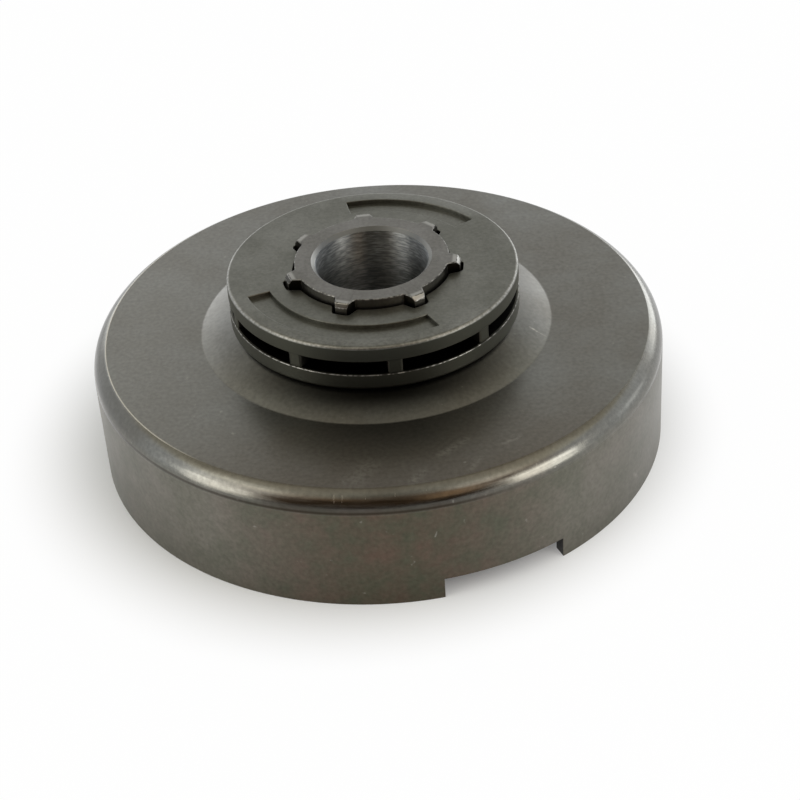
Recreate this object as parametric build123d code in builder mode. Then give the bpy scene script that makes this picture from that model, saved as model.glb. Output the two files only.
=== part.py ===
from build123d import *
from math import asin, atan2, degrees, tan
import os

# Chainsaw clutch drum with a splined hub and a loose rim sprocket, in millimetres.
# The origin lies on the spin axis, in the plane of the drum's open edge, and +Z runs
# along the axis towards the sprocket.

# Clutch drum: a cup pressed from steel sheet, faced on top and slotted across its edge
drum_radius = 40.65
drum_height = 18.0
sheet = 2.0
inner_corner_radius = 1.4
facing_cut = 0.3
cone_base_radius = 25.0
cone_top_radius = 19.0
cone_rise = 2.4
cone_foot_fillet = 0.8
cone_brow_fillet = 1.5
notch_width = 17.5
notch_height = 3.1
notch_direction = -68.5

# Splined hub: a turned bush whose spigot is brazed into the middle of the drum
bore_radius = 8.0
bore_chamfer = 0.5
spigot_radius = 10.2
spigot_drop = 2.9
braze_gap = 0.05
spline_count = 7
spline_direction = -112.0
spline_minor_radius = 10.85
spline_major_radius = 12.5
spline_root_width = 2.9
spline_tip_width = 1.6
spline_root_fillet = 0.4
hub_proud = 1.35
lead_in_depth = 0.45
lead_in_length = 0.6

# Rim sprocket: a sintered ring that slides on the splines and drives the chain
rim_radius = 20.5
rim_height = 6.8
rim_edge_fillet = 0.45
spline_clearance = 0.35
pocket_count = 9
pocket_direction = -84.0
pocket_height = 2.1
pocket_floor_wall = 2.6
post_width = 2.0
recess_edge_land = 2.2
recess_width = 3.2
recess_depth = 0.6
long_recess_angle = 99.0
short_recess_angle = 64.0
recess_direction = -112.5

# Heights and radii that follow from the sizes above
rim_seat = drum_height + cone_rise
rim_top = rim_seat + rim_height
hub_top = rim_top + hub_proud
hub_bottom = rim_seat - sheet - spigot_drop
draw_radius = inner_corner_radius + sheet
shoulder_start = drum_height + facing_cut - draw_radius
ceiling = drum_height + facing_cut - sheet


def spline_profile():
    """Draw the hub's splined outline in the sketch that is open."""
    root_half = spline_root_width / 2
    tip_half = spline_tip_width / 2
    height = spline_major_radius - spline_minor_radius
    taper = root_half - tip_half
    Circle(spline_minor_radius)
    with PolarLocations(0, spline_count, spline_direction):
        Polygon(
            (spline_minor_radius - height, root_half + taper),
            (spline_minor_radius - height, -root_half - taper),
            (spline_major_radius + height, -tip_half + taper),
            (spline_major_radius + height, tip_half - taper),
            align=None,
        )
    Circle(spline_major_radius, mode=Mode.INTERSECT)


# The drum's section: the wall, the drawn shoulder cut by the faced flat, the cone and its underside
cone_angle = atan2(cone_rise, cone_base_radius - cone_top_radius)
underside_shift = sheet * tan(cone_angle / 2)
pressed_base_radius = cone_base_radius - facing_cut / tan(cone_angle)
corner_centre = (drum_radius - draw_radius, shoulder_start)
shoulder_sweep = degrees(asin((draw_radius - facing_cut) / draw_radius))
hub_hole_radius = spigot_radius + braze_gap

with BuildPart() as clutch_drum:
    with BuildSketch(Plane.XZ):
        with BuildLine():
            Line((drum_radius - sheet, 0), (drum_radius, 0))
            Line((drum_radius, 0), (drum_radius, shoulder_start))
            shoulder = CenterArc(corner_centre, draw_radius, 0, shoulder_sweep)
            top_line = FilletPolyline(
                shoulder @ 1,
                (cone_base_radius, drum_height),
                (cone_top_radius, rim_seat),
                (hub_hole_radius, rim_seat),
                radius=[cone_foot_fillet, cone_brow_fillet],
            )
            Line(top_line @ 1, (hub_hole_radius, rim_seat - sheet))
            FilletPolyline(
                (hub_hole_radius, rim_seat - sheet),
                (cone_top_radius - underside_shift, rim_seat - sheet),
                (pressed_base_radius - underside_shift, ceiling),
                (drum_radius - draw_radius, ceiling),
                radius=[cone_foot_fillet, cone_brow_fillet],
            )
            inner_corner = CenterArc(corner_centre, inner_corner_radius, 0, 90)
            Line(inner_corner @ 0, (drum_radius - sheet, 0))
        make_face()
    revolve(axis=Axis.Z)
    # One straight slot across the open edge leaves a notch on each side
    with BuildSketch():
        Rectangle(2 * drum_radius, notch_width, rotation=notch_direction)
    extrude(amount=notch_height, mode=Mode.SUBTRACT)

with BuildPart() as splined_hub:
    with BuildSketch(Plane.XY.offset(hub_bottom)):
        Circle(spigot_radius)
    extrude(amount=rim_seat - hub_bottom)
    with BuildSketch(Plane.XY.offset(rim_seat)) as spline_section:
        spline_profile()
        fillet(spline_section.vertices().group_by(SortBy.DISTANCE)[0], radius=spline_root_fillet)
    extrude(amount=hub_top - rim_seat)
    # The spline tips are turned to a taper at the free end, so that the rim slips on
    with BuildSketch(Plane.XZ):
        with BuildLine():
            Polyline(
                (spline_major_radius - lead_in_depth, hub_top),
                (spline_major_radius + lead_in_depth, hub_top),
                (spline_major_radius + lead_in_depth, hub_top - 2 * lead_in_length),
                close=True,
            )
        make_face()
    revolve(axis=Axis.Z, mode=Mode.SUBTRACT)
    with BuildSketch(Plane.XY.offset(hub_bottom)):
        Circle(bore_radius)
    extrude(amount=hub_top - hub_bottom, mode=Mode.SUBTRACT)
    full_circles = splined_hub.edges().filter_by(lambda edge: edge.is_closed)
    chamfer(full_circles.group_by(SortBy.RADIUS)[0], length=bore_chamfer)

with BuildPart() as rim_sprocket:
    with BuildSketch(Plane.XY.offset(rim_seat)):
        Circle(rim_radius)
    extrude(amount=rim_height)
    fillet(rim_sprocket.edges().filter_by(GeomType.CIRCLE), radius=rim_edge_fillet)
    # The bore follows the hub's splines, with the same clearance all round
    with BuildSketch(Plane.XY.offset(rim_seat)):
        spline_profile()
        offset(amount=spline_clearance)
    extrude(amount=rim_height, mode=Mode.SUBTRACT)
    # Pockets for the chain's drive links, between the posts that push them
    pocket_floor_radius = spline_major_radius + spline_clearance + pocket_floor_wall
    with BuildSketch(Plane.XY.offset(rim_seat + (rim_height - pocket_height) / 2)):
        Circle(rim_radius)
        with PolarLocations(0, pocket_count, pocket_direction):
            Rectangle(rim_radius, post_width, align=(Align.MIN, Align.CENTER), mode=Mode.SUBTRACT)
        Circle(pocket_floor_radius, mode=Mode.SUBTRACT)
    extrude(amount=pocket_height, mode=Mode.SUBTRACT)
    # Two shallow recessed fields on the outer face, opposite each other
    recess_outer_radius = rim_radius - recess_edge_land
    recess_inner_radius = recess_outer_radius - recess_width
    recess_fields = [(recess_direction, long_recess_angle), (recess_direction + 180, short_recess_angle)]
    with BuildSketch(Plane.XY.offset(rim_top)):
        for middle_angle, sweep in recess_fields:
            with BuildLine():
                inner = CenterArc((0, 0), recess_inner_radius, middle_angle - sweep / 2, sweep)
                outer = CenterArc((0, 0), recess_outer_radius, middle_angle - sweep / 2, sweep)
                Line(inner @ 0, outer @ 0)
                Line(inner @ 1, outer @ 1)
            make_face()
    extrude(amount=-recess_depth, mode=Mode.SUBTRACT)

os.makedirs("parts", exist_ok=True)

clutch_drum.part.label = "clutch_drum"
export_step(clutch_drum.part, "parts/clutch_drum.step")

splined_hub.part.label = "splined_hub"
export_step(splined_hub.part, "parts/splined_hub.step")

rim_sprocket.part.label = "rim_sprocket"
export_step(rim_sprocket.part, "parts/rim_sprocket.step")
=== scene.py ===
from math import asin, atan2, cos, hypot, pi, radians, sin, sqrt, tan

import bmesh
import bpy
from mathutils import Matrix, Vector


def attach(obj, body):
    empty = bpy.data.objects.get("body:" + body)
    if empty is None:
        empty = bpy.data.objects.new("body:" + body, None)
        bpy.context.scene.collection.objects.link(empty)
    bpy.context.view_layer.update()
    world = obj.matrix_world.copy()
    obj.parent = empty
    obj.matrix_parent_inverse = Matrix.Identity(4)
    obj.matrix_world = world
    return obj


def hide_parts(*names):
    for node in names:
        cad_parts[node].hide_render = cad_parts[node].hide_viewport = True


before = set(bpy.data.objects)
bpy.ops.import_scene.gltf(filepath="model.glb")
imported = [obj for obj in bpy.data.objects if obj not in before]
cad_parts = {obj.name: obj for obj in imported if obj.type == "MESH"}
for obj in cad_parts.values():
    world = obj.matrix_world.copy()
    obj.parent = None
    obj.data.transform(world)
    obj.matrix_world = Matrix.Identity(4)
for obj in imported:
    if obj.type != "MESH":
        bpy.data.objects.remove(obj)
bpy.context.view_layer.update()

# Clutch drum
# A cup deep-drawn from 2 mm steel sheet, faced flat on top and pressed up to a low cone in the middle.
# The steel is bare, darkened by heat treatment and oil, and browner on the wall than on the faced top.
# A slot milled across the open edge leaves two notches for the oil pump's drive wire.

drum_radius = 0.04065
drum_height = 0.018
sheet = 0.002
facing_cut = 0.0003
shoulder_radius = 0.0034
shoulder_start = drum_height + facing_cut - shoulder_radius
ceiling = drum_height + facing_cut - sheet
ledge_rise = 0.0004
ledge = shoulder_start + ledge_rise
groove_depth = 0.00001
groove_height = 0.0005
cone_foot = 0.025
cone_brow = 0.019
cone_rise = 0.0024
rim_seat = drum_height + cone_rise
tight_bend = 0.0008
wide_bend = 0.0015
hub_hole = 0.01025
faced_edge_break = 0.0002
open_edge_break = 0.00012
notch_width = 0.0175
notch_height = 0.0031
notch_direction = radians(-68.5)
drum_steps = 288
hair = 1e-6


def srgb(code):
    """Turn an sRGB hex colour into linear RGBA."""
    parts = [int(code[i:i + 2], 16) / 255 for i in (0, 2, 4)]
    return [p / 12.92 if p <= 0.04045 else ((p + 0.055) / 1.055) ** 2.4 for p in parts] + [1]


def add(tree, kind, links=None, **settings):
    """Add a shader node with its settings; links gives each input a socket or a value.

    A Mix node takes its share as input 0, and two numbers as 2 and 3 or two colours as 6 and 7.
    """
    node = tree.nodes.new("ShaderNode" + kind)
    for name, value in settings.items():
        setattr(node, name, value)
    for name, value in (links or {}).items():
        if isinstance(value, bpy.types.NodeSocket):
            tree.links.new(value, node.inputs[name])
        else:
            node.inputs[name].default_value = value
    return node


def blank(name):
    """Make an empty metal material and return it with its tree and shader."""
    material = bpy.data.materials.new(name)
    material.use_nodes = True
    tree = material.node_tree
    tree.nodes.clear()
    shader = add(tree, "BsdfPrincipled", {"Metallic": 1})
    add(tree, "OutputMaterial", {"Surface": shader.outputs["BSDF"]})
    return material, tree, shader


def piece(name, bm, *materials):
    """Turn a finished bmesh into a smoothly shaded object whose flats stay flat."""
    bmesh.ops.remove_doubles(bm, verts=bm.verts, dist=1e-7)
    bmesh.ops.recalc_face_normals(bm, faces=bm.faces)
    mesh = bpy.data.meshes.new(name)
    bm.to_mesh(mesh)
    bm.free()
    mesh.shade_smooth()
    mesh.set_sharp_from_angle(angle=radians(20))
    for material in materials:
        mesh.materials.append(material)
    obj = bpy.data.objects.new(name, mesh)
    bpy.context.scene.collection.objects.link(obj)
    flats = obj.modifiers.new("flats", "WEIGHTED_NORMAL")
    flats.keep_sharp = True
    flats.weight = 100
    return obj


def wire(bm, points):
    """Draw a chain of edges through points given as (radius, height)."""
    verts = [bm.verts.new((r, 0, z)) for r, z in points]
    for a, b in zip(verts, verts[1:]):
        bm.edges.new((a, b))
    return verts


def pull(bm, faces):
    """Extrude faces, drop the old ones and return the new points, still in their old places."""
    made = bmesh.ops.extrude_face_region(bm, geom=faces)["geom"]
    bmesh.ops.delete(bm, geom=faces, context="FACES")
    return [g for g in made if isinstance(g, bmesh.types.BMVert)]


def soften(bm, edges, width):
    """Break sharp edges with a narrow round and return its faces."""
    return bmesh.ops.bevel(bm, geom=edges, offset=width, offset_type="OFFSET", affect="EDGES",
                           segments=2, profile=0.5, material=-1)["faces"]


def round_off(bm, point, radius, turn, segments):
    """Round the corner of a section that lies nearest to a point given as (radius, height)."""
    corner = min(bm.verts, key=lambda v: hypot(v.co.x - point[0], v.co.z - point[1]))
    bmesh.ops.bevel(bm, geom=[corner], offset=radius * tan(turn / 2), offset_type="OFFSET",
                    affect="VERTICES", segments=segments, profile=0.5, material=-1)


bm = bmesh.new()
cone_turn = atan2(cone_rise, cone_foot - cone_brow)
under_shift = sheet * tan(cone_turn / 2)
pressed_foot = cone_foot - facing_cut / tan(cone_turn)
foot = (cone_foot, drum_height)
brow = (cone_brow, rim_seat)
under_foot = (pressed_foot - under_shift, ceiling)
under_brow = (cone_brow - under_shift, rim_seat - sheet)
corner = (drum_radius - sheet, ceiling)
shoulder_sweep = asin((drum_height - shoulder_start) / shoulder_radius)
shoulder_centre = drum_radius - shoulder_radius
faced_edge = (shoulder_centre + shoulder_radius * cos(shoulder_sweep), drum_height)
ledge_turn = asin((ledge - shoulder_start) / shoulder_radius)
ledge_radius = shoulder_centre + shoulder_radius * cos(ledge_turn)
section = wire(bm, [
    faced_edge, foot, brow, (hub_hole, rim_seat),
    (hub_hole, rim_seat - sheet), under_brow, under_foot, corner,
    (drum_radius - sheet, notch_height), (drum_radius, notch_height),
    (drum_radius, ledge - groove_height), (ledge_radius - groove_depth, ledge - groove_height / 4),
    (ledge_radius, ledge),
])
bmesh.ops.spin(bm, geom=[section[-1]], cent=(shoulder_centre, 0, shoulder_start), axis=(0, 1, 0),
               angle=ledge_turn - shoulder_sweep, steps=14)
bmesh.ops.remove_doubles(bm, verts=bm.verts, dist=2 * hair)
round_off(bm, foot, tight_bend, cone_turn, 4)
round_off(bm, brow, wide_bend, cone_turn, 5)
round_off(bm, under_foot, wide_bend, cone_turn, 3)
round_off(bm, under_brow, tight_bend, cone_turn, 3)
round_off(bm, corner, shoulder_radius - sheet, pi / 2, 6)
round_off(bm, faced_edge, faced_edge_break, pi / 2 - shoulder_sweep, 2)
bmesh.ops.remove_doubles(bm, verts=bm.verts, dist=2 * hair)
bmesh.ops.spin(bm, geom=bm.verts[:] + bm.edges[:], cent=(0, 0, 0), axis=(0, 0, 1), angle=2 * pi,
               steps=drum_steps, use_merge=True)
bmesh.ops.recalc_face_normals(bm, faces=bm.faces)

# The edge between the notches is drawn down from the wall's lower ring, and its ends lie flat along the slot
half_slot = asin(notch_width / 2 / drum_radius)
half_step = pi / drum_steps
lower_ring = [f for f in bm.faces if max(v.co.z for v in f.verts) < notch_height + hair]
kept = [f for f in lower_ring if abs(f.calc_center_median().y) > notch_width / 2]
bmesh.ops.translate(bm, vec=(0, 0, -notch_height), verts=pull(bm, kept))
for vert in bm.verts:
    if vert.co.z < notch_height + hair:
        radius = hypot(vert.co.x, vert.co.y)
        turn = abs(atan2(vert.co.y, vert.co.x))
        if abs(min(turn, pi - turn) - half_slot) < half_step:
            vert.co.y = notch_width / 2 * (1 if vert.co.y > 0 else -1)
            vert.co.x = sqrt(radius ** 2 - vert.co.y ** 2) * (1 if vert.co.x > 0 else -1)
open_edges = [e for e in bm.edges if max(v.co.z for v in e.verts) < notch_height + hair
              and e.calc_face_angle(0) > radians(60)]
soften(bm, open_edges, open_edge_break)
bmesh.ops.rotate(bm, cent=(0, 0, 0), matrix=Matrix.Rotation(notch_direction, 3, "Z"), verts=bm.verts)


def stroke(tree, place, start, end, width):
    """A mark that fades from 1 on the line between two points to 0 at its width, all in millimetres."""
    start, run = Vector(start) / 1000, (Vector(end) - Vector(start)) / 1000
    out = add(tree, "VectorMath", {0: place, 1: start}, operation="SUBTRACT").outputs[0]
    along = add(tree, "VectorMath", {0: out, 1: run / run.length_squared},
                operation="DOT_PRODUCT").outputs["Value"]
    along = add(tree, "Clamp", {0: along}).outputs[0]
    nearest = add(tree, "VectorMath", {0: run, "Scale": along}, operation="SCALE").outputs[0]
    away = add(tree, "VectorMath", {0: out, 1: nearest}, operation="DISTANCE").outputs["Value"]
    return add(tree, "MapRange", {"Value": away, "From Min": width / 1000, "From Max": 0}).outputs[0]


# Oiled drawn steel: cool grey on top, olive brown on the front of the wall, cloudy from heat and oil. Shade
# is painted in, in front, under the rim, along the shoulder's foot and at the far left.
# The shoulder is burnished by the drawing die, so it mirrors more sharply, in fine streaks round the axis.
# A few scuffs and bright nicks lie where handling left them. The grain is drawn coarser than it is, to show.
cloud_size = 0.012
stain_size = 0.005
grain_size = 0.0006
fleck_size = 0.0009
streak_length = 0.006
streak_width = 0.0004

drum_steel, tree, shader = blank("oiled drawn steel")
place = add(tree, "TexCoord").outputs["Object"]
axes = add(tree, "SeparateXYZ", {0: place}).outputs
level = add(tree, "CombineXYZ", {"X": axes["X"], "Y": axes["Y"]}).outputs[0]
radius = add(tree, "VectorMath", {0: level}, operation="LENGTH").outputs["Value"]
cloud = add(tree, "TexNoise", {"Vector": place, "Scale": 1 / cloud_size, "Detail": 3,
                               "Roughness": 0.6}).outputs[0]
cloud = add(tree, "MapRange", {"Value": cloud, "From Min": 0.35, "From Max": 0.65}).outputs[0]
stain = add(tree, "TexNoise", {"Vector": place, "W": 5, "Scale": 1 / stain_size, "Detail": 4,
                               "Roughness": 0.65}, noise_dimensions="4D").outputs[0]
stain = add(tree, "MapRange", {"Value": stain, "From Min": 0.35, "From Max": 0.65}).outputs[0]
grain = add(tree, "TexNoise", {"Vector": place, "Scale": 1 / grain_size, "Detail": 3}).outputs[0]

# The faced top: browner and darker in front, partly an oil tint and partly painted shade, and painted lighter
# on the flat at the left
faced = add(tree, "Mix", {0: cloud, 6: srgb("6c6b66"), 7: srgb("757673")}, data_type="RGBA").outputs[2]
front_oil_and_shade = add(tree, "MapRange", {"Value": axes["Y"], "From Min": -0.018, "From Max": -0.036,
                                     "To Max": 0.6}).outputs[0]
on_flat = add(tree, "MapRange", {"Value": axes["Z"], "From Min": drum_height - 0.0006,
                                 "From Max": drum_height}).outputs[0]
front_oil_and_shade = add(tree, "Math", {0: front_oil_and_shade, 1: on_flat}, operation="MULTIPLY").outputs[0]
faced = add(tree, "Mix", {0: front_oil_and_shade, 6: faced, 7: srgb("645d54")}, data_type="RGBA").outputs[2]
at_flat = add(tree, "MapRange", {"Value": axes["Z"], "From Min": drum_height - 0.00015,
                                 "From Max": drum_height - 0.00002}).outputs[0]
painted_light_left = add(tree, "MapRange", {"Value": axes["X"], "From Min": -0.012, "From Max": -0.034,
                                   "To Max": 0.6}).outputs[0]
painted_light_left = add(tree, "Math", {0: painted_light_left, 1: at_flat}, operation="MULTIPLY").outputs[0]
faced = add(tree, "Mix", {0: painted_light_left, 6: faced, 7: srgb("82827e")}, data_type="RGBA").outputs[2]

# Painted shade darkens the shoulder at the far left
painted_shade_far_left = add(tree, "MapRange", {"Value": axes["X"], "From Min": -0.030, "From Max": -0.038,
                                  "To Max": 0.6}).outputs[0]
painted_shade_far_left = add(tree, "Math", {0: painted_shade_far_left, 1: at_flat}, operation="SUBTRACT", use_clamp=True).outputs[0]
faced = add(tree, "Mix", {0: painted_shade_far_left, 6: faced, 7: srgb("4a4a46")}, data_type="RGBA").outputs[2]

# The wall: olive and red brown heat stains, painted darker in front as shade, and greyer towards the sides
front = add(tree, "Mix", {0: stain, 6: srgb("4d4e41"), 7: srgb("5b4d43")}, data_type="RGBA").outputs[2]
flank = add(tree, "Mix", {0: stain, 6: srgb("66655b"), 7: srgb("736f67")}, data_type="RGBA").outputs[2]
to_flank = add(tree, "MapRange", {"Value": axes["Y"], "From Min": -0.0408, "From Max": -0.033}).outputs[0]
wall = add(tree, "Mix", {0: to_flank, 6: front, 7: flank}, data_type="RGBA").outputs[2]
on_top = add(tree, "MapRange", {"Value": axes["Z"], "From Min": shoulder_start,
                                "From Max": drum_height - 0.0016}).outputs[0]
colour = add(tree, "Mix", {0: on_top, 6: wall, 7: faced}, data_type="RGBA").outputs[2]
speck = add(tree, "MapRange", {"Value": grain, "From Min": 0.3, "From Max": 0.7, "To Min": 0.88,
                               "To Max": 1.12}).outputs[0]
colour = add(tree, "Mix", {0: 1, 6: colour, 7: speck}, data_type="RGBA", blend_type="MULTIPLY").outputs[2]

# Painted shadow on the cone under the rim: near black, strongest in front
painted_shade_share = add(tree, "MapRange", {"Value": axes["Y"], "From Min": -0.011, "From Max": -0.021, "To Min": 0.4,
                              "To Max": 0.97}).outputs[0]
painted_shadow_under_rim = add(tree, "MapRange", {"Value": radius, "From Min": cone_foot + 0.0006, "From Max": 0.0204,
                                   "To Max": painted_shade_share}, interpolation_type="SMOOTHSTEP").outputs[0]
colour = add(tree, "Mix", {0: painted_shadow_under_rim, 6: colour, 7: srgb("0c0b08")}, data_type="RGBA").outputs[2]

# Painted shade along the line at the shoulder's foot: in the line, above it in front, and below it at the
# sides
front_part = add(tree, "MapRange", {"Value": axes["Y"], "From Min": -0.006, "From Max": -0.016}).outputs[0]
left_part = add(tree, "MapRange", {"Value": axes["X"], "From Min": 0.02, "From Max": 0.008,
                                   "To Max": 0.6}).outputs[0]
groove_painted_shade = add(tree, "Math", {0: front_part, 1: left_part}, operation="MULTIPLY").outputs[0]
off_front = add(tree, "Math", {0: axes["X"], 1: 0.004}, operation="ADD").outputs[0]
off_front = add(tree, "Math", {0: off_front}, operation="ABSOLUTE").outputs[0]
ledge_painted_shade = add(tree, "MapRange", {"Value": off_front, "From Min": 0.02, "From Max": 0.01,
                                    "To Max": 0.55}).outputs[0]
ledge_painted_shade = add(tree, "Math", {0: ledge_painted_shade, 1: front_part}, operation="MULTIPLY").outputs[0]
aside = add(tree, "Math", {0: axes["X"]}, operation="ABSOLUTE").outputs[0]
side_painted_shade = add(tree, "MapRange", {"Value": aside, "From Min": 0.033, "From Max": 0.0375,
                                   "To Max": 0.5}).outputs[0]
for height, half_band, painted_shade_share in (
    (ledge, 0.0001, groove_painted_shade),
    (ledge + 0.0004, 0.0004, ledge_painted_shade),
    (ledge - groove_height / 2, 0.0001, side_painted_shade),
):
    off = add(tree, "Math", {0: axes["Z"], 1: height}, operation="SUBTRACT").outputs[0]
    off = add(tree, "Math", {0: off}, operation="ABSOLUTE").outputs[0]
    band = add(tree, "MapRange", {"Value": off, "From Min": half_band + 0.0002, "From Max": half_band,
                                  "To Max": painted_shade_share}).outputs[0]
    colour = add(tree, "Mix", {0: band, 6: colour, 7: srgb("2a231a")}, data_type="RGBA").outputs[2]

# The notches' cut ends are painted dark as shade
slot_side = Vector((-sin(notch_direction), cos(notch_direction), 0))
painted_shade_slot_end = add(tree, "VectorMath", {0: place, 1: slot_side}, operation="DOT_PRODUCT").outputs["Value"]
painted_shade_slot_end = add(tree, "Math", {0: painted_shade_slot_end}, operation="ABSOLUTE").outputs[0]
painted_shade_slot_end = add(tree, "Math", {0: painted_shade_slot_end, 1: notch_width / 2, 2: 0.00004}, operation="COMPARE").outputs[0]
in_slot = add(tree, "Math", {0: axes["Z"], 1: notch_height - 0.0001}, operation="LESS_THAN").outputs[0]
painted_shade_slot_end = add(tree, "Math", {0: painted_shade_slot_end, 1: in_slot}, operation="MULTIPLY").outputs[0]
in_wall = add(tree, "Math", {0: radius, 1: drum_radius - 0.0001}, operation="LESS_THAN").outputs[0]
painted_shade_slot_end = add(tree, "Math", {0: painted_shade_slot_end, 1: in_wall}, operation="MULTIPLY").outputs[0]
colour = add(tree, "Mix", {0: painted_shade_slot_end, 6: colour, 7: srgb("141210")}, data_type="RGBA").outputs[2]

# Bright marks: flecks all over, scuffs on the faced top, and nicks on the cone, the shoulder and the wall
flecks = add(tree, "TexNoise", {"Vector": place, "W": 3, "Scale": 1 / fleck_size, "Detail": 1},
             noise_dimensions="4D").outputs[0]
rubbed = add(tree, "MapRange", {"Value": flecks, "From Min": 0.73, "From Max": 0.85,
                                "To Max": 0.4}).outputs[0]
for start, end, width, strength in (
    ((7.0, -32.8, 18), (10.5, -30.0, 18), 0.9, 0.22),
    ((15.4, -31.3, 18), (17.3, -30.2, 18), 0.5, 0.2),
    ((3.0, -38.0, 18), (4.6, -35.9, 18), 0.8, 0.2),
    ((-4.3, -36.7, 18), (-2.5, -34.0, 18), 2.2, 0.15),
    ((10.5, -36.5, 18), (12.0, -34.1, 18), 0.6, 0.14),
    ((21.4, -6.3, 19.1), (22.3, -6.9, 18.7), 0.2, 0.9),
    ((22.3, -6.9, 18.7), (23.6, -7.6, 18.2), 0.15, 0.5),
    ((-7.1, -38.8, 17.4), (-7.1, -39.4, 16.7), 0.2, 0.5),
    ((-6.0, -39.0, 17.4), (-6.1, -39.5, 16.8), 0.17, 0.5),
    ((0.7, -39.4, 17.4), (0.6, -39.9, 16.8), 0.17, 0.6),
    ((8.0, -39.6, 15.8), (8.0, -39.7, 15.6), 0.2, 0.6),
    ((5.7, -40.2, 11.3), (5.45, -40.3, 10.6), 0.15, 0.8),
    ((33.8, -22.6, 4.5), (34.6, -21.4, 2.7), 0.4, 0.4),
):
    mark = stroke(tree, place, start, end, width)
    mark = add(tree, "Math", {0: mark, 1: strength}, operation="MULTIPLY").outputs[0]
    rubbed = add(tree, "Math", {0: rubbed, 1: mark}, operation="MAXIMUM").outputs[0]
frayed = add(tree, "MapRange", {"Value": grain, "From Min": 0.36, "From Max": 0.56,
                                "To Min": 0.1}).outputs[0]
rubbed = add(tree, "Math", {0: rubbed, 1: frayed}, operation="MULTIPLY").outputs[0]

# An uneven bright line on the faced edge at the left, partly a rubbed edge and partly a painted highlight
rubbed_edge_highlight = add(tree, "Math", {0: radius, 1: faced_edge[0], 2: 0.00007}, operation="COMPARE").outputs[0]
edge_highlight_left = add(tree, "MapRange", {"Value": axes["X"], "From Min": -0.024, "From Max": -0.033}).outputs[0]
uneven = add(tree, "MapRange", {"Value": stain, "To Min": 0.55}).outputs[0]
for share in (edge_highlight_left, on_top, uneven):
    rubbed_edge_highlight = add(tree, "Math", {0: rubbed_edge_highlight, 1: share}, operation="MULTIPLY").outputs[0]
# From here the rubbed marks also carry the faced edge's painted highlight
rubbed = add(tree, "Math", {0: rubbed, 1: rubbed_edge_highlight}, operation="MAXIMUM").outputs[0]
colour = add(tree, "Mix", {0: rubbed, 6: colour, 7: srgb("b4b2aa")}, data_type="RGBA").outputs[2]
colour = add(tree, "Mix", {0: rubbed_edge_highlight, 6: colour, 7: srgb("c8c6be")}, data_type="RGBA").outputs[2]
tree.links.new(colour, shader.inputs["Base Color"])

# Half matt with a fine grain, and on the drawn shoulder shinier, in streaks round the axis
round_axis = add(tree, "VectorMath", {0: level}, operation="NORMALIZE").outputs[0]
across = add(tree, "Math", {0: axes["Z"], 1: radius}, operation="SUBTRACT").outputs[0]
across = add(tree, "CombineXYZ", {"Z": across}).outputs[0]
streak_run = add(tree, "VectorMath", {0: round_axis, 1: (drum_radius / streak_length,) * 3},
                 operation="MULTIPLY").outputs[0]
streak_run = add(tree, "VectorMath", {0: across, 1: (1 / streak_width,) * 3, 2: streak_run},
                 operation="MULTIPLY_ADD").outputs[0]
streaks = add(tree, "TexNoise", {"Vector": streak_run, "Scale": 1, "Detail": 3}).outputs[0]
dull = add(tree, "MapRange", {"Value": cloud, "To Min": 0.38, "To Max": 0.33}).outputs[0]
drawn = add(tree, "Math", {0: axes["Z"], 1: (drum_height + shoulder_start) / 2, 2: 0.00152},
            operation="COMPARE").outputs[0]
outside = add(tree, "Math", {0: radius, 1: faced_edge[0] - 0.0005}, operation="GREATER_THAN").outputs[0]
burnished = add(tree, "Math", {0: drawn, 1: outside}, operation="MULTIPLY").outputs[0]
shine = add(tree, "MapRange", {"Value": streaks, "From Min": 0.35, "From Max": 0.65, "To Min": 0.15,
                               "To Max": 0.27}).outputs[0]
dull = add(tree, "Mix", {0: burnished, 2: dull, 3: shine}, data_type="FLOAT").outputs[0]
dull = add(tree, "Mix", {0: rubbed, 2: dull, 3: 0.6}, data_type="FLOAT").outputs[0]
tree.links.new(dull, shader.inputs["Roughness"])
bump = add(tree, "Bump", {"Strength": 0.12, "Distance": 0.00002, "Height": grain}).outputs[0]
bump = add(tree, "Bump", {"Strength": 0.3, "Distance": 0.00002, "Height": streaks, "Normal": bump}).outputs[0]
tree.links.new(bump, shader.inputs["Normal"])

drum = piece("drum", bm, drum_steel)
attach(drum, "drum")
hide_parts("clutch_drum")

# Splined hub
# A turned steel bush, brazed by its spigot into the middle of the drum, with a bore for the needle cage.
# Seven splines stand on its outside, turned to a taper at the free end so that the rim slips on.

hub_height = 0.00815
hub_top = rim_seat + hub_height
spigot_drop = 0.0029
hub_bottom = rim_seat - sheet - spigot_drop
bore_radius = 0.008
bore_chamfer = 0.0005
braze_gap = 0.00005
spigot_radius = hub_hole - braze_gap
spline_count = 7
spline_direction = radians(-112)
spline_pitch = 2 * pi / spline_count
spline_minor = 0.01085
spline_major = 0.0125
spline_root_half = 0.00145
spline_tip_half = 0.0008
spline_root_fillet = 0.0002
spline_tip_fillet = 0.00006
spline_edge_break = 0.0001
lead_in_depth = 0.00045
lead_in_length = 0.0006


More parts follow.
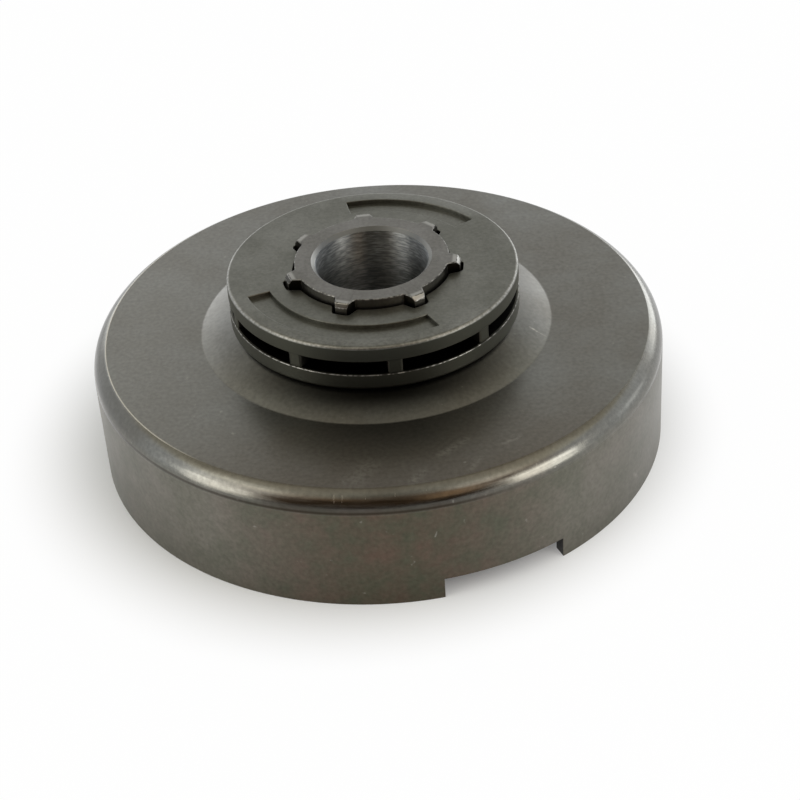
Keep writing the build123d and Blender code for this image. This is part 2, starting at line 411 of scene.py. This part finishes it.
def spline_outline(bm, height, minor, major, root_half, tip_half, fillet, tip_fillet):
    """Draw the closed outline of the splines as edges at one height."""
    root = asin(root_half / minor)
    tip = asin(tip_half / major)
    gap = spline_pitch / 2 - root
    centre, axis = (0, 0, 0), (0, 0, 1)
    start = bm.verts.new((minor * cos(-spline_pitch / 2), minor * sin(-spline_pitch / 2), height))
    arc = bmesh.ops.spin(bm, geom=[start], cent=centre, axis=axis, angle=gap, steps=6)
    foot = arc["geom_last"][0]
    corner = bm.verts.new((major * cos(-tip), major * sin(-tip), height))
    bm.edges.new((foot, corner))
    arc = bmesh.ops.spin(bm, geom=[corner], cent=centre, axis=axis, angle=2 * tip, steps=3)
    far_corner = arc["geom_last"][0]
    far_foot = bm.verts.new((minor * cos(root), minor * sin(root), height))
    bm.edges.new((far_corner, far_foot))
    bmesh.ops.spin(bm, geom=[far_foot], cent=centre, axis=axis, angle=gap, steps=6)
    for verts, reach in (([foot, far_foot], fillet), ([corner, far_corner], tip_fillet)):
        bmesh.ops.bevel(bm, geom=verts, offset=reach, offset_type="OFFSET", affect="VERTICES",
                        segments=4, profile=0.5, material=-1)
    bmesh.ops.spin(bm, geom=bm.verts[:] + bm.edges[:], cent=centre, axis=axis, angle=2 * pi,
                   steps=spline_count, use_duplicate=True)
    bmesh.ops.remove_doubles(bm, verts=bm.verts, dist=2 * hair)
    bmesh.ops.rotate(bm, cent=centre, matrix=Matrix.Rotation(spline_direction, 3, "Z"), verts=bm.verts)
    return bm.edges[:]


def grow(bm, loop, place_vert):
    """Extrude a loop of edges, put each new point where place_vert says, and return the new loop."""
    made = bmesh.ops.extrude_edge_only(bm, edges=loop)["geom"]
    ends = set(g for g in made if isinstance(g, bmesh.types.BMVert))
    for vert in ends:
        vert.co = place_vert(vert.co)
    return [g for g in made if isinstance(g, bmesh.types.BMEdge) and all(v in ends for v in g.verts)]


def at_height(height):
    """Keep the outline and move it to a height."""
    return lambda co: Vector((co.x, co.y, height))


def on_circle(radius, height):
    """Draw the outline in to a circle at a height."""
    return lambda co: Vector((co.x, co.y, 0)).normalized() * radius + Vector((0, 0, height))


def lead_in(co):
    """Draw the spline tips in at the free end, where the tapered splines are a little wider."""
    cut = spline_major - lead_in_depth
    if hypot(co.x, co.y) < cut:
        return Vector((co.x, co.y, hub_top))
    angle = atan2(co.y, co.x) - spline_direction
    tooth = round(angle / spline_pitch) * spline_pitch
    slope = (spline_root_half - spline_tip_half) / (spline_major - spline_minor)
    wider = 1 + slope * lead_in_depth / spline_tip_half
    off_tooth = asin(min(1, hypot(co.x, co.y) * sin(angle - tooth) * wider / cut))
    turn = off_tooth + tooth + spline_direction
    return Vector((cut * cos(turn), cut * sin(turn), hub_top))


bm = bmesh.new()
outline = spline_outline(bm, rim_seat, spline_minor, spline_major, spline_root_half, spline_tip_half,
                         spline_root_fillet, spline_tip_fillet)
loop = outline
for place_vert in (
    at_height(hub_top - lead_in_length),
    lead_in,
    on_circle(bore_radius + bore_chamfer, hub_top),
    on_circle(bore_radius, hub_top - bore_chamfer),
    on_circle(bore_radius, hub_bottom + bore_chamfer),
    on_circle(bore_radius + bore_chamfer, hub_bottom),
    on_circle(spigot_radius, hub_bottom),
    on_circle(spigot_radius, rim_seat),
):
    loop = grow(bm, loop, place_vert)
bmesh.ops.bridge_loops(bm, edges=loop + outline)
bmesh.ops.recalc_face_normals(bm, faces=bm.faces)
for face in bm.faces:
    centre = face.calc_center_median()
    if hypot(centre.x, centre.y) < bore_radius + 1e-5:
        face.material_index = 1
spline_edges = [e for e in bm.edges if min(v.co.z for v in e.verts) > rim_seat + hair
                and min(hypot(v.co.x, v.co.y) for v in e.verts) > spline_minor - 1e-5
                and e.calc_face_angle(0) > radians(35)]
for face in soften(bm, spline_edges, spline_edge_break):
    face.material_index = 2

# Turned steel: plain grey and half matt, with a fine grain that is drawn coarser than it is, to show.
# The flanks of the splines are painted dark as shade, and their tips and lead-ins are rubbed bright by the
# rim, with a painted highlight on the lead-ins that grows to the right.
patch_size = 0.004
turned_grain = 0.0005

turned, tree, shader = blank("turned steel")
place = add(tree, "TexCoord").outputs["Object"]
axes = add(tree, "SeparateXYZ", {0: place}).outputs
level = add(tree, "CombineXYZ", {"X": axes["X"], "Y": axes["Y"]}).outputs[0]
radius = add(tree, "VectorMath", {0: level}, operation="LENGTH").outputs["Value"]
cloud = add(tree, "TexNoise", {"Vector": place, "Scale": 1 / patch_size, "Detail": 3}).outputs[0]
patch = add(tree, "MapRange", {"Value": cloud, "From Min": 0.35, "From Max": 0.65}).outputs[0]
colour = add(tree, "Mix", {0: patch, 6: srgb("656460"), 7: srgb("6f6e6b")}, data_type="RGBA").outputs[2]
grain = add(tree, "TexNoise", {"Vector": place, "Scale": 1 / turned_grain, "Detail": 2}).outputs[0]
speck = add(tree, "MapRange", {"Value": grain, "From Min": 0.3, "From Max": 0.7, "To Min": 0.88,
                               "To Max": 1.12}).outputs[0]
colour = add(tree, "Mix", {0: 1, 6: colour, 7: speck}, data_type="RGBA", blend_type="MULTIPLY").outputs[2]

# Painted shade on the flanks, from just under the end face down
flank_middle = (spline_minor + spline_major) / 2
flank_half = (spline_major - spline_minor) / 2 - 0.00005
under_end = hub_top - 0.00012
flanks = add(tree, "Math", {0: radius, 1: flank_middle, 2: flank_half}, operation="COMPARE").outputs[0]
below_end = add(tree, "Math", {0: axes["Z"], 1: under_end}, operation="LESS_THAN").outputs[0]
painted_shade_flanks = add(tree, "Math", {0: flanks, 1: below_end}, operation="MULTIPLY").outputs[0]
colour = add(tree, "Mix", {0: painted_shade_flanks, 6: colour, 7: srgb("24221e")}, data_type="RGBA").outputs[2]

# The lead-ins are rubbed, and so are the tips' ends; a painted highlight on the lead-ins grows to the right
lead_slope = lead_in_depth / lead_in_length
lead_sum = spline_major - lead_in_depth + lead_slope * hub_top
lead = add(tree, "Math", {0: axes["Z"], 1: lead_slope, 2: radius}, operation="MULTIPLY_ADD").outputs[0]
lead = add(tree, "Math", {0: lead, 1: lead_sum, 2: 0.00006}, operation="COMPARE").outputs[0]
tip_end = add(tree, "MapRange", {"Value": radius, "From Min": spline_minor + 0.0004,
                                 "From Max": spline_minor + 0.0007, "To Max": 0.5}).outputs[0]
at_end = add(tree, "Math", {0: axes["Z"], 1: under_end}, operation="GREATER_THAN").outputs[0]
tip_end = add(tree, "Math", {0: tip_end, 1: at_end}, operation="MULTIPLY").outputs[0]
highlight_to_right = add(tree, "MapRange", {"Value": axes["X"], "From Min": -0.005, "From Max": 0.005, "To Min": 0.08,
                                  "To Max": 0.65}).outputs[0]
tip_wear_and_highlight = add(tree, "Math", {0: lead, 1: highlight_to_right}, operation="MULTIPLY").outputs[0]
tip_wear_and_highlight = add(tree, "Math", {0: tip_wear_and_highlight, 1: tip_end}, operation="MAXIMUM").outputs[0]
colour = add(tree, "Mix", {0: tip_wear_and_highlight, 6: colour, 7: srgb("b0b0ac")}, data_type="RGBA").outputs[2]

# The bore's chamfer carries a painted highlight at its two sides, and is duller than the end face
on_chamfer = add(tree, "MapRange", {"Value": radius, "From Min": bore_radius + bore_chamfer,
                                    "From Max": bore_radius + 0.9 * bore_chamfer}).outputs[0]
aside = add(tree, "Math", {0: axes["X"]}, operation="ABSOLUTE").outputs[0]
aside = add(tree, "MapRange", {"Value": aside, "From Min": 0.85 * bore_radius,
                               "From Max": bore_radius}).outputs[0]
chamfer_painted_highlight = add(tree, "Mix", {0: aside, 6: srgb("666869"), 7: srgb("7e7f7d")}, data_type="RGBA").outputs[2]
colour = add(tree, "Mix", {0: on_chamfer, 6: colour, 7: chamfer_painted_highlight}, data_type="RGBA").outputs[2]
tree.links.new(colour, shader.inputs["Base Color"])
dull = add(tree, "MapRange", {"Value": radius, "From Min": bore_radius + 0.8 * bore_chamfer,
                              "From Max": bore_radius + bore_chamfer, "To Min": 0.45,
                              "To Max": 0.34}).outputs[0]
tree.links.new(dull, shader.inputs["Roughness"])
bump = add(tree, "Bump", {"Strength": 0.25, "Distance": 0.00003, "Height": grain}).outputs[0]
tree.links.new(bump, shader.inputs["Normal"])

# Bored steel: grooves run round the bore, so that light spreads up and down it in two tall bands.
# The grooves are drawn about four times coarser than the tool's feed, so that they show.
# Deep down the bore is painted darker as shade.
groove_length = 0.0012
groove_pitch = 0.00025

bored, tree, shader = blank("bored steel")
place = add(tree, "TexCoord").outputs["Object"]
axes = add(tree, "SeparateXYZ", {0: place}).outputs
level = add(tree, "CombineXYZ", {"X": axes["X"], "Y": axes["Y"]}).outputs[0]
round_bore = add(tree, "VectorMath", {0: level, 1: (1 / groove_length,) * 3}, operation="MULTIPLY").outputs[0]
up = add(tree, "CombineXYZ", {"Z": axes["Z"]}).outputs[0]
groove_run = add(tree, "VectorMath", {0: up, 1: (1 / groove_pitch,) * 3, 2: round_bore},
                 operation="MULTIPLY_ADD").outputs[0]
grooves = add(tree, "TexNoise", {"Vector": groove_run, "Scale": 1, "Detail": 2}).outputs[0]
grooves = add(tree, "MapRange", {"Value": grooves, "From Min": 0.4, "From Max": 0.72}).outputs[0]
colour = add(tree, "Mix", {0: grooves, 6: srgb("8d9194"), 7: srgb("c8ccce")}, data_type="RGBA").outputs[2]
painted_shade_deep = add(tree, "MapRange", {"Value": axes["Z"], "From Min": 0.0255, "From Max": 0.0205,
                              "To Max": 0.6}).outputs[0]
colour = add(tree, "Mix", {0: painted_shade_deep, 6: colour, 7: srgb("2a2a28")}, data_type="RGBA").outputs[2]
tree.links.new(colour, shader.inputs["Base Color"])
shader.inputs["Roughness"].default_value = 0.37
shader.inputs["Anisotropic"].default_value = 1
tree.links.new(add(tree, "CombineXYZ", {"Z": 1}).outputs[0], shader.inputs["Tangent"])
bump = add(tree, "Bump", {"Strength": 0.3, "Distance": 0.00002, "Height": grooves}).outputs[0]
tree.links.new(bump, shader.inputs["Normal"])

# Rubbed bright edge: crumbs of bright steel along the corners, broken by dark ones, partly wear and partly a
# painted highlight
crumb_size = 0.0005

edge_wear_and_highlight, tree, shader = blank("rubbed edge with painted highlight")
place = add(tree, "TexCoord").outputs["Object"]
crumbs = add(tree, "TexNoise", {"Vector": place, "Scale": 1 / crumb_size, "Detail": 2}).outputs[0]
crumbs = add(tree, "MapRange", {"Value": crumbs, "From Min": 0.4, "From Max": 0.62}).outputs[0]
colour = add(tree, "Mix", {0: crumbs, 6: srgb("464644"), 7: srgb("9a9a97")}, data_type="RGBA").outputs[2]
tree.links.new(colour, shader.inputs["Base Color"])
shader.inputs["Roughness"].default_value = 0.42

hub = piece("hub", bm, turned, bored, edge_wear_and_highlight)
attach(hub, "drum")
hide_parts("splined_hub")

# Rim sprocket
# A ring pressed and sintered from steel powder, loose on the hub's splines, that drives the chain.
# Nine pockets for the chain's drive links open round its outside, between narrow posts set a little back.

rim_radius = 0.0205
rim_height = 0.0068
rim_top = rim_seat + rim_height
rim_edge = 0.00045
rim_edge_break = 0.0001
clearance = 0.00035
bore_root_fillet = 0.00025
bore_tip_fillet = 0.00032
web_wall = 0.00105
web_radius = spline_major + clearance + web_wall
pocket_count = 9
pocket_direction = radians(-84)
pocket_pitch = 2 * pi / pocket_count
pocket_height = 0.0021
pocket_low = rim_seat + (rim_height - pocket_height) / 2
pocket_high = pocket_low + pocket_height
pocket_middle = (pocket_low + pocket_high) / 2
pocket_floor_wall = 0.0026
pocket_floor = spline_major + clearance + pocket_floor_wall
post_half = 0.001
post_setback = 0.00025
post_corner = 0.00015
post_face = rim_radius - post_setback
recess_edge_land = 0.0022
recess_width = 0.0032
recess_outer = rim_radius - recess_edge_land
recess_inner = recess_outer - recess_width
recess_depth = 0.0006
recess_fields = [(radians(-112.5), radians(49.5)), (radians(67.5), radians(32))]
rim_steps = 450

bm = bmesh.new()
wire(bm, [
    (web_radius, rim_top), (recess_inner, rim_top), (recess_outer, rim_top), (rim_radius, rim_top),
    (rim_radius, pocket_high), (post_face, pocket_high), (post_face, pocket_low), (rim_radius, pocket_low),
    (rim_radius, rim_seat), (web_radius, rim_seat),
])
for height in (rim_top, rim_seat):
    round_off(bm, (rim_radius, height), rim_edge, pi / 2, 6)
half_step = pi / rim_steps
bmesh.ops.rotate(bm, cent=(0, 0, 0), matrix=Matrix.Rotation(pocket_direction + half_step, 3, "Z"),
                 verts=bm.verts)
bmesh.ops.spin(bm, geom=bm.verts[:] + bm.edges[:], cent=(0, 0, 0), axis=(0, 0, 1), angle=2 * pi,
               steps=rim_steps, use_merge=True)
bmesh.ops.recalc_face_normals(bm, faces=bm.faces)


def turned_from(co, direction):
    """How far round the axis a point lies from a direction, from minus to plus half a turn."""
    return (atan2(co.y, co.x) - direction + pi) % (2 * pi) - pi


# The pockets are drawn in from the ring between the posts, whose sides stay parallel
half_post = asin(post_half / post_face)
half_post_inside = asin(post_half / pocket_floor)
mouths = []
for face in bm.faces:
    centre = face.calc_center_median()
    off_post = turned_from(centre, pocket_direction) + pocket_pitch / 2
    off_post = abs(off_post % pocket_pitch - pocket_pitch / 2)
    if abs(centre.z - pocket_middle) < hair and off_post > half_post:
        mouths.append(face)
post_ends = set(v for f in mouths for v in f.verts
                if any(n not in mouths and abs(n.normal.z) < 0.1 for n in v.link_faces))
squeeze = (pocket_pitch / 2 - half_post_inside) / (pocket_pitch / 2 - half_post)
for vert in pull(bm, mouths):
    turn = turned_from(vert.co, pocket_direction) % pocket_pitch - pocket_pitch / 2
    angle = atan2(vert.co.y, vert.co.x) + turn * (squeeze - 1)
    vert.co = (pocket_floor * cos(angle), pocket_floor * sin(angle), vert.co.z)
for vert in post_ends:
    vert.co.xy *= 1 - post_corner / post_face

fields = []
for face in bm.faces:
    centre = face.calc_center_median()
    on_ring = recess_inner < hypot(centre.x, centre.y) < recess_outer and centre.z > rim_top - hair
    if on_ring and any(abs(turned_from(centre, middle)) < half for middle, half in recess_fields):
        fields.append(face)
bmesh.ops.translate(bm, vec=(0, 0, -recess_depth), verts=pull(bm, fields))

# The splined bore is a sleeve that is joined to the ring's two faces
bore = bmesh.new()
outline = spline_outline(bore, rim_top, spline_minor + clearance, spline_major + clearance,
                         spline_root_half + clearance, spline_tip_half + clearance,
                         bore_root_fillet, bore_tip_fillet)
grow(bore, outline, at_height(rim_seat))
sleeve = bpy.data.meshes.new("sleeve")
bore.to_mesh(sleeve)
bore.free()
bm.from_mesh(sleeve)
bpy.data.meshes.remove(sleeve)
for height in (rim_top, rim_seat):
    ends = [e for e in bm.edges if e.is_boundary and all(abs(v.co.z - height) < 1e-7 for v in e.verts)]
    bmesh.ops.triangle_fill(bm, use_beauty=True, edges=ends)
bmesh.ops.recalc_face_normals(bm, faces=bm.faces)
sharp = [e for e in bm.edges if e.calc_face_angle(0) > radians(60) and e.calc_face_angle_signed(0) > 0]
for face in soften(bm, sharp, rim_edge_break):
    if abs(face.calc_center_median().z - pocket_low) < rim_edge_break:
        face.material_index = 1

# Sintered steel: dark grey and fine-grained, half matt, with its outer edges rubbed bright and crumbly.
# Its side is painted darker towards the front as shade, the pockets are painted black inside as shade, and
# the land by the upper edge carries a painted highlight in front.
sinter_patch = 0.006
sinter_grain = 0.00045

sintered, tree, shader = blank("sintered steel")
place = add(tree, "TexCoord").outputs["Object"]
axes = add(tree, "SeparateXYZ", {0: place}).outputs
level = add(tree, "CombineXYZ", {"X": axes["X"], "Y": axes["Y"]}).outputs[0]
radius = add(tree, "VectorMath", {0: level}, operation="LENGTH").outputs["Value"]
cloud = add(tree, "TexNoise", {"Vector": place, "Scale": 1 / sinter_patch, "Detail": 3}).outputs[0]
patch = add(tree, "MapRange", {"Value": cloud, "From Min": 0.35, "From Max": 0.65}).outputs[0]
colour = add(tree, "Mix", {0: patch, 6: srgb("64655f"), 7: srgb("70716c")}, data_type="RGBA").outputs[2]
grain = add(tree, "TexNoise", {"Vector": place, "Scale": 1 / sinter_grain, "Detail": 2}).outputs[0]
speck = add(tree, "MapRange", {"Value": grain, "From Min": 0.3, "From Max": 0.7, "To Min": 0.88,
                               "To Max": 1.12}).outputs[0]
colour = add(tree, "Mix", {0: 1, 6: colour, 7: speck}, data_type="RGBA", blend_type="MULTIPLY").outputs[2]

# Painted shade on the upright side, darker towards the front
out_part = add(tree, "MapRange", {"Value": radius, "From Min": rim_radius - rim_edge,
                                  "From Max": rim_radius - 0.2 * rim_edge}).outputs[0]
up_part = add(tree, "MapRange", {"Value": axes["Z"], "From Min": rim_top - rim_edge,
                                 "From Max": rim_top - 0.2 * rim_edge}).outputs[0]
outer = add(tree, "Math", {0: radius, 1: post_face - 0.0001}, operation="GREATER_THAN").outputs[0]
side = add(tree, "Math", {0: outer, 1: up_part}, operation="SUBTRACT", use_clamp=True).outputs[0]
to_front = add(tree, "MapRange", {"Value": axes["Y"], "From Min": -0.01, "From Max": -0.02}).outputs[0]
rim_side_painted_shade = add(tree, "Mix", {0: to_front, 6: srgb("62635b"), 7: srgb("3f403a")}, data_type="RGBA").outputs[2]
colour = add(tree, "Mix", {0: side, 6: colour, 7: rim_side_painted_shade}, data_type="RGBA").outputs[2]

# The upper edge is worn bright, and less so in front; the land beside it in front carries a painted highlight
rim_edge_wear_and_highlight = add(tree, "Math", {0: out_part, 1: up_part}, operation="MULTIPLY").outputs[0]
land_painted_highlight = add(tree, "MapRange", {"Value": radius, "From Min": recess_outer, "From Max": rim_radius - rim_edge,
                              "To Max": 0.3}).outputs[0]
land_painted_highlight = add(tree, "Math", {0: land_painted_highlight, 1: to_front}, operation="MULTIPLY").outputs[0]
land_painted_highlight = add(tree, "Math", {0: land_painted_highlight, 1: up_part}, operation="MULTIPLY").outputs[0]
rim_edge_wear_and_highlight = add(tree, "Math", {0: rim_edge_wear_and_highlight, 1: land_painted_highlight}, operation="MAXIMUM").outputs[0]
glitter = add(tree, "MapRange", {"Value": grain, "From Min": 0.35, "From Max": 0.65,
                                 "To Min": 0.3}).outputs[0]
rim_edge_wear_and_highlight = add(tree, "Math", {0: rim_edge_wear_and_highlight, 1: glitter}, operation="MULTIPLY").outputs[0]
less_front = add(tree, "MapRange", {"Value": axes["Y"], "From Min": -0.0184, "From Max": -0.0198,
                                    "To Min": 1, "To Max": 0.55}).outputs[0]
rim_edge_wear_and_highlight = add(tree, "Math", {0: rim_edge_wear_and_highlight, 1: less_front}, operation="MULTIPLY").outputs[0]
colour = add(tree, "Mix", {0: rim_edge_wear_and_highlight, 6: colour, 7: srgb("a3a3a1")}, data_type="RGBA").outputs[2]

# Inside the pockets the posts' sides fade to black and the rest is black, as painted shade
inside = add(tree, "Math", {0: 1, 1: outer}, operation="SUBTRACT").outputs[0]
pocket = add(tree, "Math", {0: axes["Z"], 1: pocket_middle, 2: pocket_height / 2 + 1e-5},
             operation="COMPARE").outputs[0]
pocket = add(tree, "Math", {0: pocket, 1: inside}, operation="MULTIPLY").outputs[0]
inwards = add(tree, "MapRange", {"Value": radius, "From Min": rim_radius - 0.002,
                                 "From Max": rim_radius}).outputs[0]
facing = add(tree, "SeparateXYZ", {0: add(tree, "NewGeometry").outputs["True Normal"]}).outputs["Z"]
upright = add(tree, "Math", {0: facing, 1: 0, 2: 0.5}, operation="COMPARE").outputs[0]
inwards = add(tree, "Math", {0: inwards, 1: upright}, operation="MULTIPLY").outputs[0]
# The pockets' painted shade: black deep inside, greyer on the posts' sides near the mouth
oiled = add(tree, "Mix", {0: inwards, 6: srgb("0e0d0b"), 7: srgb("57554f")}, data_type="RGBA").outputs[2]
colour = add(tree, "Mix", {0: pocket, 6: colour, 7: oiled}, data_type="RGBA").outputs[2]
tree.links.new(colour, shader.inputs["Base Color"])
dull = add(tree, "MapRange", {"Value": side, "To Min": 0.42, "To Max": 0.47}).outputs[0]
tree.links.new(dull, shader.inputs["Roughness"])
bump = add(tree, "Bump", {"Strength": 0.35, "Distance": 0.00004, "Height": grain}).outputs[0]
tree.links.new(bump, shader.inputs["Normal"])

rim = piece("rim", bm, sintered, edge_wear_and_highlight)
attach(rim, "rim")
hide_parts("rim_sprocket")

# Studio
# A plain white table in soft light: a pale wall behind, a dimmer room above and in front, large soft boxes
# round the table, and two small ones that stand low on it, at the front left and the front right.
# The table keeps the drum's shadow in a soft shade round its foot, a little to the left.

table_half = 3
shade_middle = (-0.003, 0, 0)
shade_full = 0.034
shade_end = 0.054

scene = bpy.context.scene
scene.view_settings.view_transform = "Standard"
bm = bmesh.new()
bmesh.ops.create_grid(bm, x_segments=1, y_segments=1, size=table_half)
table_white = bpy.data.materials.new("white table")
table_white.use_nodes = True
tree = table_white.node_tree
tree.nodes.clear()
paint = add(tree, "BsdfDiffuse", {"Color": srgb("e2e8f0")}).outputs[0]
glow = add(tree, "Emission", {"Color": srgb("ffffff"), "Strength": 1}).outputs[0]
path = add(tree, "LightPath").outputs
seen = add(tree, "Math", {0: path["Is Camera Ray"], 1: path["Is Glossy Ray"]}, operation="MAXIMUM").outputs[0]
seen = add(tree, "Math", {0: seen, 1: path["Is Transmission Ray"]}, operation="MAXIMUM").outputs[0]
table = add(tree, "TexCoord").outputs["Object"]
from_shade = add(tree, "VectorMath", {0: table, 1: shade_middle}, operation="DISTANCE").outputs["Value"]
open_table = add(tree, "MapRange", {"Value": from_shade, "From Min": shade_full, "From Max": shade_end,
                                    "To Max": 0.98}, interpolation_type="SMOOTHSTEP").outputs[0]
share = add(tree, "Math", {0: seen, 1: open_table}, operation="MULTIPLY").outputs[0]
top = add(tree, "MixShader", {0: share, 1: paint, 2: glow}).outputs[0]
add(tree, "OutputMaterial", {"Surface": top})
floor = piece("floor", bm, table_white)

# The room: one brightness from front to back for the walls and one for what is above them
world = bpy.data.worlds.new("studio")
world.use_nodes = True
scene.world = world
tree = world.node_tree
tree.nodes.clear()
direction = add(tree, "TexCoord").outputs["Generated"]
aim = add(tree, "SeparateXYZ", {0: direction}).outputs
depth = add(tree, "MapRange", {"Value": aim["Y"], "From Min": -1}).outputs[0]
rings = []
for stops in (
    ((0, 0.08), (0.1, 0.1), (0.42, 0.95), (0.75, 1.05), (0.93, 1.22)),
    ((0.1, 0.1), (0.32, 0.66), (0.48, 0.62), (0.58, 0.27), (0.75, 0.26), (0.86, 0.28)),
):
    ring = add(tree, "ValToRGB", {0: depth})
    while len(ring.color_ramp.elements) < len(stops):
        ring.color_ramp.elements.new(1)
    for element, (position, value) in zip(ring.color_ramp.elements, stops):
        element.position = position
        element.color = (value, value, value, 1)
    rings.append(ring.outputs[0])
walls, ceiling_light = rings
aside = add(tree, "Math", {0: aim["X"]}, operation="ABSOLUTE").outputs[0]
above = add(tree, "Math", {0: aside, 1: 0.9, 2: ceiling_light}, operation="MULTIPLY_ADD").outputs[0]
high = add(tree, "MapRange", {"Value": aim["Z"], "From Min": 0.525, "From Max": 0.64},
           interpolation_type="SMOOTHSTEP").outputs[0]
brightness = add(tree, "Mix", {0: high, 2: walls, 3: above}, data_type="FLOAT").outputs[0]
tone = add(tree, "Mix", {0: high, 6: srgb("ffffff"), 7: srgb("fbf4e0")}, data_type="RGBA").outputs[2]
room = add(tree, "MapRange", {"Value": depth, "From Min": 0.4, "From Max": 0.1}).outputs[0]
low = add(tree, "MapRange", {"Value": aim["Z"], "From Min": 0.85, "From Max": 0.6}).outputs[0]
room = add(tree, "Math", {0: room, 1: low}, operation="MULTIPLY").outputs[0]
tone = add(tree, "Mix", {0: room, 6: tone, 7: srgb("ffcf9f")}, data_type="RGBA").outputs[2]
sky = add(tree, "Mix", {0: 1, 6: tone, 7: brightness}, data_type="RGBA", blend_type="MULTIPLY").outputs[2]

# Each large soft box: its direction round from the back and up, its reach in degrees, strength and colour
for azimuth, elevation, reach, strength, code in (
    (-115, 36, 23, 1.5, "fdfaf2"), (-113, 12, 24, 1.1, "fdfaf2"), (123, 12, 21, 1.8, "fdfaf2"),
    (137, 44, 14, 1.2, "fdfaf2"), (75, 3, 11, 1.0, "ffffff"), (36, 6, 22, 2.5, "ffffff"),
    (-23, 8, 16, 1.1, "ffffff"), (155, 26, 15, 0.65, "ffcf9f"),
):
    turn, rise = radians(azimuth), radians(elevation)
    middle = Vector((sin(turn) * cos(rise), cos(turn) * cos(rise), sin(rise)))
    near = add(tree, "VectorMath", {0: direction, 1: middle}, operation="DOT_PRODUCT").outputs["Value"]
    near = add(tree, "MapRange", {"Value": near, "From Min": cos(radians(reach)), "From Max": 1},
               interpolation_type="SMOOTHSTEP").outputs[0]
    glow = [strength * c for c in srgb(code)]
    sky = add(tree, "Mix", {0: near, 6: sky, 7: glow}, data_type="RGBA", blend_type="ADD").outputs[2]
add(tree, "OutputWorld", {"Surface": add(tree, "Background", {"Color": sky}).outputs[0]})

# The two small boxes on the table: where each stands and its power in watts
box_width = 0.065
box_height = 0.06
for name, stand, power in (
    ("left box", Vector((-0.125, -0.081, 0.03)), 0.029),
    ("right box", Vector((0.119, -0.093, 0.03)), 0.038),
):
    lamp = bpy.data.lights.new(name, "AREA")
    lamp.shape = "RECTANGLE"
    lamp.size = box_width
    lamp.size_y = box_height
    lamp.energy = power
    lamp.color = srgb("fdfaf2")[:3]
    soft_box = bpy.data.objects.new(name, lamp)
    to_axis = Vector((0, 0, stand.z)) - stand
    soft_box.matrix_world = Matrix.Translation(stand) @ to_axis.to_track_quat("-Z", "Y").to_matrix().to_4x4()
    soft_box.visible_camera = False
    scene.collection.objects.link(soft_box)

# Camera
# The photo's view: from the front, 36 degrees down, with a long lens and a slight tilt.

lens = bpy.data.cameras.new("camera")
lens.lens = 90.52
lens.sensor_width = 36
stand = Matrix.Translation((0, -0.24019, 0.17614))
swing = Matrix.Rotation(radians(-0.619), 4, "Z")
look_down = Matrix.Rotation(radians(90 - 35.676), 4, "X")
tilt = Matrix.Rotation(radians(-4.015), 4, "Z")
camera = bpy.data.objects.new("camera", lens)
camera.matrix_world = stand @ swing @ look_down @ tilt
scene.collection.objects.link(camera)
scene.camera = camera
